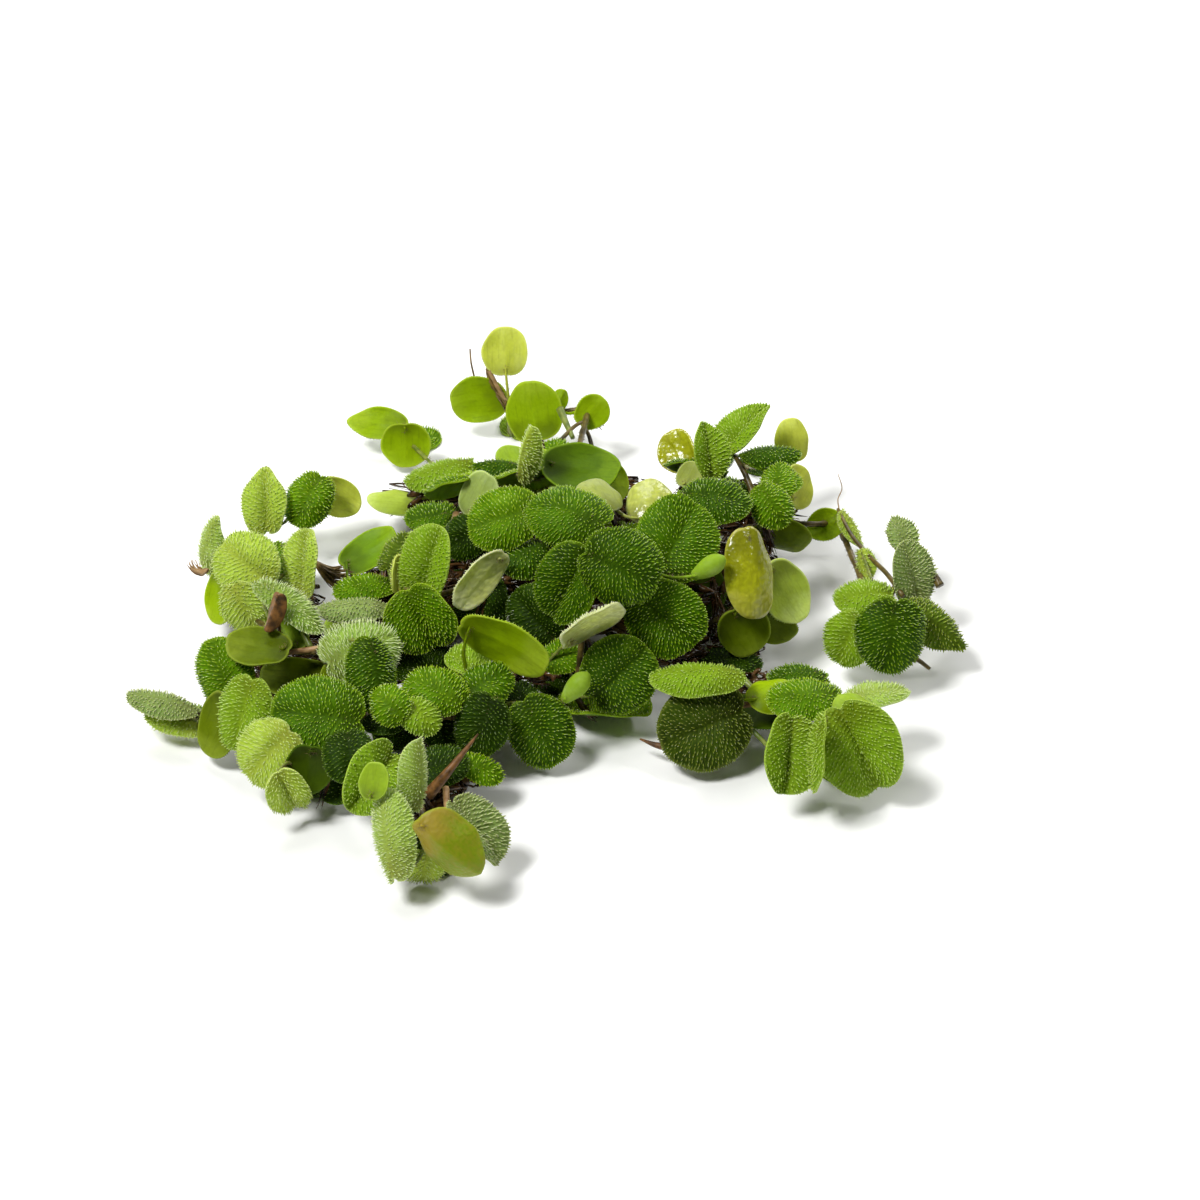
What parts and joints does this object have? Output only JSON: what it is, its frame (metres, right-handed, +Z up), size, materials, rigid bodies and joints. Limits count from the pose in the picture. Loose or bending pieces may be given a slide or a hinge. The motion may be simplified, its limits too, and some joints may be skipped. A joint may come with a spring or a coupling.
{
  "type": "salvinia plant",
  "caption": "Tangled clump of salvinia, a floating water fern: folded round leaves with rows of fine pale hairs on branching rhizomes with brown hanging roots.",
  "frame": {"origin": "on the ground under the middle of the clump", "axes": "+X along the clump's longer side, +Y towards its back, +Z up from the ground"},
  "size_m": [0.1493, 0.1473, 0.0397],
  "materials": {
    "leaf_green": "living leaf, satin and slightly wet, with fine pale hairs",
    "leaf_deep_green": "older leaf, deep green, with rows of white-tipped hairs",
    "leaf_yellow_green": "young leaf and smooth underside, yellow-green and glossy"
  },
  "bodies": {
    "root": {"back_centre_branch": "leaf_green", "back_left_branch": "leaf_green", "back_left_pair": "leaf_green", "back_slope_left": "leaf_green", "back_slope_middle": "leaf_green", "back_slope_right": "leaf_green", "back_sprig": "leaf_yellow_green", "centre_left_branch": "leaf_green", "crown_left": "leaf_deep_green", "crown_right": "leaf_deep_green", "front_centre_branch": "leaf_green", "front_slope": "leaf_deep_green", "front_sprig": "leaf_green", "left_lower_branch": "leaf_green", "left_middle_branch": "leaf_green", "left_tip": "leaf_green", "left_upper_branch": "leaf_green", "lower_right_inner": "leaf_deep_green", "lower_right_outer": "leaf_green", "middle_left_branch": "leaf_green", "right_sprig": "leaf_green", "upper_right_curl": "leaf_yellow_green", "upper_right_heads": "leaf_deep_green", "upper_right_tip": "leaf_yellow_green", "yellow_branch": "leaf_yellow_green"}
  },
  "joints": []
}
